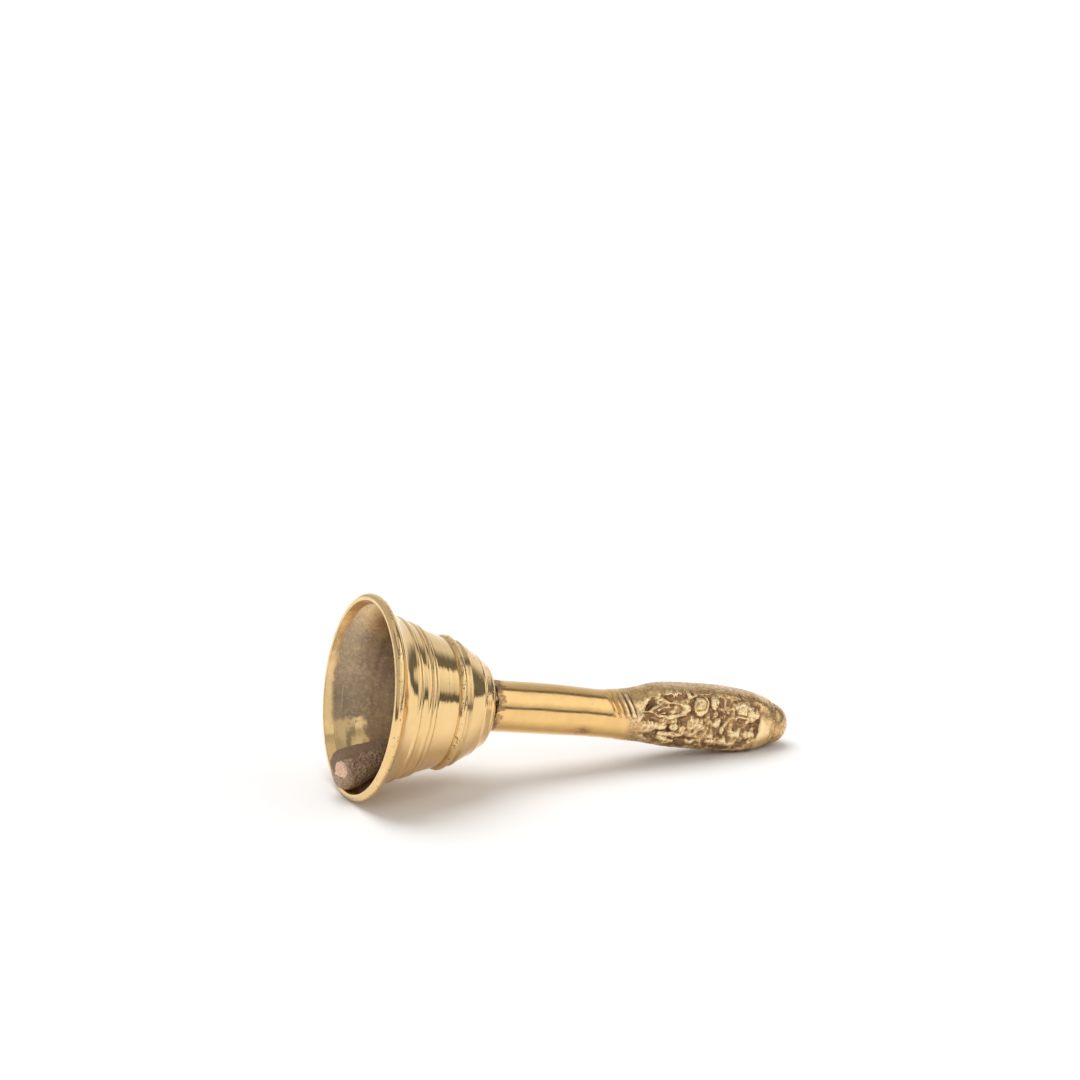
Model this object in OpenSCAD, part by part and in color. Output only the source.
// Brass puja bell lying on its side: a turned bell, a cast handle with a figure in relief, and a clapper
// on a wire ring. Millimetres. +Z is up, the floor is z = 0, the mouth faces -X and the handle points to +X.
//
// Every piece is drawn in the bell's own frame, where Z is the bell's axis, measured from the plane of the
// lip towards the handle, and +X is the side that lies on the floor. lay_down() puts it in the part's frame.

/* [Bell] */
// Diameter of the mouth, over the lip
mouth_d = 50; // [46:0.5:54]
// Height of the bell, from the lip to the land under the handle
bell_h = 31.8; // [31:0.2:35]
// Thickness of the turned wall
wall_t = 1.2; // [1.1:0.1:1.8]
// Radial thickness of the lip, at its edge
lip_t = 1.7; // [1.5:0.05:2.2]
// Radius of the lip's outer rounding
lip_round = 1.2; // [0.8:0.1:1.4]
// Outer radius at the bead, before the bead itself
neck_r = 15.7; // [15:0.1:16.4]
// Narrowing of the cone, in mm of radius for each mm of height
cone_slope = 0.33; // [0.3:0.01:0.4]
// How far the lip flares out beyond the cone
flare_w = 2.9; // [2:0.1:3.2]
// How far each turned ring stands proud
ring_proud = 0.35; // [0.2:0.05:0.5]
// Thickness of the crown
crown_t = 3; // [2.4:0.1:3.4]

/* [Handle] */
// Overall length of the bell, from the lip to the button at the handle's end
total_l = 113.8; // [111:0.2:118]
// Radius of the shaft
shaft_r = 6.3; // [5.8:0.1:6.8]
// How much thinner the shaft is at its waist
waist_dip = 0.45; // [0:0.05:0.8]
// Half the width of the finial, across the figure
finial_w = 8.35; // [7.4:0.05:8.8]
// Half the thickness of the finial, from the figure to the back
finial_t = 6.6; // [6:0.1:7.2]
// Radius of the tenon through the crown
tenon_r = 4.2; // [3.8:0.1:4.6]

/* [Clapper] */
// Length of the clapper, from the top of its eye to the blunt end
clapper_l = 29.6; // [29:0.2:31]
// Largest radius of the bob
bob_r = 5.2; // [4.4:0.1:5.4]
// Radius of the bob's blunt end
bob_end_r = 3; // [2.4:0.05:3.4]
// Length of the bob
bob_l = 17; // [14:0.5:18]
// Radius of the clapper's wire
shank_r = 0.8; // [0.7:0.05:0.9]
// Radius of the ring's and the staple's wire
wire_r = 0.6; // [0.5:0.05:0.65]
// Radius of the ring, to the middle of its wire
link_r = 4.6; // [4.2:0.1:4.7]

/* [Hidden] */
$fn = 96;

brass = [0.80, 0.63, 0.34];
old_brass = [0.66, 0.50, 0.26];
dark_brass = [0.36, 0.28, 0.17];
iron = [0.33, 0.29, 0.26];
rough_bronze = [0.52, 0.38, 0.27];

fit_gap = 0.05;          // between a tenon or a leg and its hole
over = 1;                // by which a cutter passes the face it cuts, or a piece runs into the next
thin = 0.1;              // thickness of the finial's slices
mouth_r = mouth_d / 2;

// Stations along the bell's axis
lip_w = 2.4;             // width of the lip's band
lip_slope = 0.3;         // of the lip's inner face, in mm of radius for each mm of depth
flare_s = 2;             // height at which the flare stands flare_w proud of the cone
flare_len = 1.8;         // length over which the flare falls to a third
ring_s = [0.247 * bell_h, 0.343 * bell_h, 0.387 * bell_h];
ring_half = 0.8;         // half the width of a turned ring
bead_s = 0.653 * bell_h;
bead_r = 1.15;
bead_proud = 0.75;
cone_top = bead_s - 1;   // where the cone runs into the bead
groove_s = bead_s + 1.9;
groove_half = 0.5;
groove_d = 0.3;
shoulder_s = bead_s + 2.7;
shoulder_r = neck_r - 0.6;
line_s = 0.88 * bell_h;
line_half = 0.5;
line_proud = 0.15;
crown_round = 2.6;
crown_start = 20;        // angle at which the crown's rounding leaves the shoulder
land_r = 8.5;              // of the flat land under the handle
crown_in_s = bell_h - crown_t;
crown_in_round = 2.2;

// The handle's stations
neck_in_r = shaft_r - 0.15; // of the shaft under the braze
neck_step = 0.2;         // length of the step from there to the full shaft
braze_w = 1.6;
braze_h = 2;
braze_bulge = 0.25;
finial_s = total_l - 45;
waist = [finial_s - 20, finial_s + 8];
waist_step = 2;
rib_pitch = 2;           // between the three ribs of the collar
rib_half = 0.9;
rib_proud = 0.3;
heel_s = total_l - 7.5;  // where the handle's underside meets the floor
heel_r = 6.15;
cap_s = heel_s + 2;      // where the finial ends in front of the button
cap_r = 5.6;
button_r = 5.2;
button_s = total_l - button_r;

// The figure in relief, in the finial's front
panel_depth = 1.1;       // of the hollow round it
panel_l = 30;
panel_w = 1.56 * finial_w;
panel_s = finial_s + 23;
back_y = panel_depth - finial_t;
head_s = finial_s + 34;
head_r = 2.8;
knot_r = 1.9;            // of the hair, tied on top
chest_s = head_s - 8;
chest_r = 4;
belly_s = head_s - 13.5;
belly_r = 3.6;
seat_s = head_s - 17.5;
palm_r = 1.3;
arm_r = 1.3;
forearm_r = 1.05;
leg_r = 1.7;

// The bell leans on its lip and its heel. tilt is the slope of its axis, down towards the handle.
lip_c = mouth_r - lip_round;
lean_a = heel_s - lip_round;
lean_b = lip_c - heel_r;
tilt = atan(lean_b / lean_a) + asin(lip_round / sqrt(lean_a * lean_a + lean_b * lean_b));
mouth_z = lip_round * sin(tilt) + lip_c * cos(tilt) + lip_round;

// The hanging chain, in the bell's own frame: [towards the floor, along the axis]
plumb = [cos(tilt), sin(tilt)];
staple_r = 2.4;
staple_s = bell_h - 9.6; // middle of the wire that the ring hangs on
leg_depth = 2.9;         // of the staple's legs in the tenon
link_gap = 0.3;          // between the ring and the staple
eye_gap = 0.15;          // between the clapper's eye and the ring
eye_r = 2.3;
tenon_end = crown_in_s - 0.5;
link_c = [0, staple_s] + (link_r - 2 * wire_r - link_gap) * plumb;
eye_c = link_c + (link_r - wire_r - shank_r - eye_gap) * plumb;

// The bob's outline down to its widest circle: [share of the largest radius, share of that distance]
bob_outline = [[0.4, 0], [0.5, 0.1], [0.68, 0.3], [0.78, 0.48], [0.81, 0.62], [0.85, 0.78], [0.97, 0.93], [1, 1]];
bob_wide = 3.2;          // from the widest circle to the blunt end
bob_top = clapper_l - bob_l;
bob_bevel = [1.2, 0.9];  // of the blunt end: radial, along
bob_grip = 6;            // length of wire inside the bob
wall_gap = 0.2;          // between the bob and the wall it lies on
wide_l = clapper_l - bob_wide;
bob_circles = [for (p = bob_outline) [bob_r * p[0], bob_top + (wide_l - bob_top) * p[1]]];

// Outer and inner radius of the cone and its flare at height s
function flare_r(s) = neck_r + cone_slope * (cone_top - s) + flare_w * exp(-(s - flare_s) / flare_len);
function inner_r(s) = min(flare_r(s) - wall_t, mouth_r - lip_t - lip_slope * s);

// Angle between the clapper and the bell's axis at which a circle of the bob, [radius, distance from the
// eye], lies on the lower wall. The bob rests on the first one that touches.
function touch_s(c, a) = eye_c[1] - c[1] * cos(a) + c[0] * sin(a);
function touch_angle(c, a, n) = n == 0 ? a : touch_angle(c,
    asin((inner_r(touch_s(c, a)) - wall_gap - eye_c[0] - c[0] * cos(a)) / c[1]), n - 1);
clapper_rest = min([for (c = bob_circles) if (c[0] > 0.8 * bob_r) touch_angle(c, 25, 8)]);

// The part's box along X, from the clapper's end to the button, is centred on the origin
tip = eye_c + clapper_l * [sin(clapper_rest), -cos(clapper_rest)];
low_x = tip[1] * cos(tilt) - tip[0] * sin(tilt) - bob_end_r * sin(clapper_rest - tilt);
high_x = button_s * cos(tilt) + button_r;
mouth_x = -(low_x + high_x) / 2;

// Points of an arc in a profile: [radius, height]
function arc(c, r, from, to, n = 8) = [for (i = [0:n]) let (a = from + (to - from) * i / n)
    c + r * [cos(a), sin(a)]];

// From the bell's own frame to the part's
module lay_down() {
    translate([mouth_x, 0, mouth_z]) rotate([0, 90 + tilt, 0]) children();
}

// A raised ring, half round, on a surface of radius r at height s
module turned_ring(r, s, half_w, proud) {
    rotate_extrude() translate([r + proud - half_w, s]) circle(half_w, $fn = 24);
}

// The bell: lip, flare, turned rings, bead, groove, shoulder and crown
module bell_cup() {
    steps = 14;
    flare_out = [for (i = [0:steps]) let (s = lip_w + (cone_top - lip_w) * i / steps) [flare_r(s), s]];
    flare_in = [for (i = [0:2 * steps]) let (s = cone_top * (1 - i / (2 * steps))) [inner_r(s), s]];
    crown_out = arc([land_r, bell_h - crown_round], crown_round, crown_start, 90);
    crown_in = arc([land_r, crown_in_s - crown_in_round], crown_in_round, 90, 0);
    shoulder_slope = (shoulder_r - crown_out[0][0]) / (crown_out[0][1] - shoulder_s);
    color(brass) lay_down() difference() {
        union() {
            rotate_extrude() polygon(concat(
                arc([lip_c, lip_round], lip_round, -90, 60),
                flare_out,
                [[shoulder_r - groove_d / 2, groove_s - groove_half], [shoulder_r - groove_d, groove_s]],
                [[shoulder_r, shoulder_s]],
                crown_out,
                [[0, bell_h], [0, crown_in_s]],
                crown_in,
                flare_in
            ));
            for (s = ring_s) turned_ring(flare_r(s), s, ring_half, ring_proud);
            turned_ring(neck_r, bead_s, bead_r, bead_proud);
            turned_ring(shoulder_r - (line_s - shoulder_s) * shoulder_slope, line_s, line_half, line_proud);
        }
        translate([0, 0, crown_in_s - over]) cylinder(r = tenon_r + fit_gap, h = crown_t + 2 * over);
    }
}

// Radius of the shaft, with its shallow waist
function shaft_at(s) = shaft_r - (s < waist[0] || s > waist[1] ? 0
    : waist_dip * (1 - cos(360 * (s - waist[0]) / (waist[1] - waist[0]))) / 2);

// A cosine or sine pushed outwards, which turns a circle into a rounded square
function rounded(c) = sign(c) * pow(abs(c), 2 / 3);

// A thin slice of the finial, flattened on its front and back: s along the axis, w across the figure,
// t through it
module slice(s, w, t) {
    translate([0, 0, s]) linear_extrude(thin, center = true)
        polygon([for (i = [0:31]) [w * rounded(cos(i * 11.25)), t * rounded(sin(i * 11.25))]]);
}

module shaft() {
    rotate_extrude() polygon(concat(
        [[0, bell_h], [neck_in_r, bell_h], [neck_in_r, bell_h + braze_h]],
        [[shaft_r, bell_h + braze_h + neck_step]],
        [for (s = [waist[0] : waist_step : waist[1]]) [shaft_at(s), s]],
        [[0, waist[1]]]
    ));
}

module finial() {
    hull() {
        translate([0, 0, finial_s + 1]) cylinder(r = shaft_at(finial_s + 1), h = thin, $fn = 32);
        slice(finial_s + 10, 0.93 * finial_w, 0.95 * finial_t);
        slice(finial_s + 22, finial_w, finial_t);
        slice(finial_s + 32, 0.85 * finial_w, 0.97 * finial_t);
        translate([0, 0, heel_s]) cylinder(r = heel_r, h = thin, center = true, $fn = 32);
        translate([0, 0, cap_s]) cylinder(r = cap_r, h = thin, center = true, $fn = 32);
    }
    translate([0, 0, button_s]) sphere(button_r);
}

// Almond-shaped hollow in the finial's front, which leaves a raised border round the figure
module figure_panel() {
    side_r = (panel_l * panel_l + panel_w * panel_w) / (4 * panel_w);
    side_x = side_r - panel_w / 2;
    translate([0, back_y, panel_s]) rotate([90, 0, 0]) linear_extrude(finial_t) intersection() {
        translate([side_x, 0]) circle(side_r);
        translate([-side_x, 0]) circle(side_r);
    }
}

// A limb: a rod with round ends between two points of the figure
module limb(from, to, r) {
    along = to - from;
    len = norm(along);
    turn = [0, acos(along[2] / len), atan2(along[1], along[0])];
    translate(from) rotate(turn) cylinder(r = r, h = len);
    translate(from) sphere(r);
    translate(to) sphere(r);
}

// Seated figure with joined palms and crossed legs, in half relief on the front, which faces -Y
module figure() {
    $fn = 48;
    translate([0, back_y, head_s]) sphere(head_r);
    translate([0, back_y + 0.3, head_s + 2.6]) sphere(knot_r);
    translate([0, back_y + 1.6, chest_s]) sphere(chest_r);
    translate([0, back_y + 1.4, belly_s]) sphere(belly_r);
    translate([0, back_y - 1.9, chest_s]) sphere(palm_r);
    for (side = [-1, 1]) {
        shoulder = [side * 3.9, back_y + 0.3, head_s - 4.6];
        elbow = [side * 4.9, back_y + 0.3, chest_s - 3.4];
        wrist = [side * 0.4, back_y - 1.6, chest_s - 0.3];
        knee = [side * 5.2, back_y + 0.5, seat_s + 0.6];
        foot = [-side * 1.4, back_y - 0.4, seat_s - 1.9];
        limb(shoulder, elbow, arm_r);
        limb(elbow, wrist, forearm_r);
        limb(knee, foot, leg_r);
    }
}

// The handle: tenon, shaft, ribbed collar, finial with its figure, and button
module handle() {
    color(old_brass) lay_down() difference() {
        union() {
            translate([0, 0, tenon_end]) cylinder(r = tenon_r, h = bell_h + over - tenon_end);
            shaft();
            for (i = [0:2]) let (s = finial_s + rib_pitch * i) turned_ring(shaft_at(s), s, rib_half, rib_proud);
            difference() {
                finial();
                figure_panel();
            }
            figure();
        }
        for (side = [-1, 1]) translate([0, side * staple_r, tenon_end - over])
            cylinder(r = wire_r + fit_gap, h = leg_depth + over);
    }
}

// Rough ring of braze in the corner between the crown and the shaft
module braze_ring() {
    ring_r = neck_in_r + fit_gap;
    color(dark_brass) lay_down() rotate_extrude() polygon(concat(
        [[ring_r, bell_h], [ring_r + braze_w, bell_h]],
        [for (a = [15 : 15 : 75]) [ring_r + braze_w * (1 - sin(a)) + braze_bulge * sin(2 * a),
            bell_h + braze_h * (1 - cos(a)) + braze_bulge * sin(2 * a)]],
        [[ring_r, bell_h + braze_h]]
    ));
}

// Bent wire U, with its legs in the end of the tenon
module staple() {
    bend_s = staple_s + staple_r;
    leg_l = tenon_end + leg_depth - bend_s;
    color(iron) lay_down() {
        translate([0, 0, bend_s]) rotate([90, 0, 90]) rotate([0, 0, 180])
            rotate_extrude(angle = 180) translate([staple_r, 0]) circle(wire_r, $fn = 24);
        for (side = [-1, 1]) translate([0, side * staple_r, bend_s]) cylinder(r = wire_r, h = leg_l, $fn = 24);
    }
}

// Round wire ring that hangs on the staple, in the bell's plane of symmetry
module clapper_link() {
    color(iron) lay_down() translate([link_c[0], 0, link_c[1]]) rotate([90, 0, 0])
        rotate_extrude() translate([link_r, 0]) circle(wire_r, $fn = 24);
}

// The clapper's own frame: its Z runs from the eye down to the blunt end
module along_clapper() {
    translate([eye_c[0], 0, eye_c[1]]) rotate([0, 180 - clapper_rest, 0]) children();
}

// Wire shank with a round eye at its top and its lower end inside the bob
module clapper_wire() {
    shank_top = 2 * eye_r;
    shank_end = bob_top + bob_grip;
    color(iron) lay_down() along_clapper() {
        translate([0, 0, eye_r]) rotate([0, 90, 0])
            rotate_extrude() translate([eye_r, 0]) circle(shank_r, $fn = 24);
        translate([0, 0, shank_top]) cylinder(r = shank_r, h = shank_end - shank_top, $fn = 24);
    }
}

// Cast bob: pear shaped, with a blunt end and a bore for the wire
module clapper_bob() {
    color(rough_bronze) lay_down() along_clapper() difference() {
        rotate_extrude() polygon(concat(
            [[0, bob_top]],
            bob_circles,
            [[0.97 * bob_r, wide_l + bob_bevel[0]]],
            [[bob_end_r + bob_bevel[0], clapper_l - bob_bevel[1]], [bob_end_r, clapper_l], [0, clapper_l]]
        ));
        translate([0, 0, bob_top - over])
            cylinder(r = shank_r + fit_gap, h = bob_grip + over + fit_gap, $fn = 24);
    }
}

bell_cup();
handle();
braze_ring();
staple();
clapper_link();
clapper_wire();
clapper_bob();
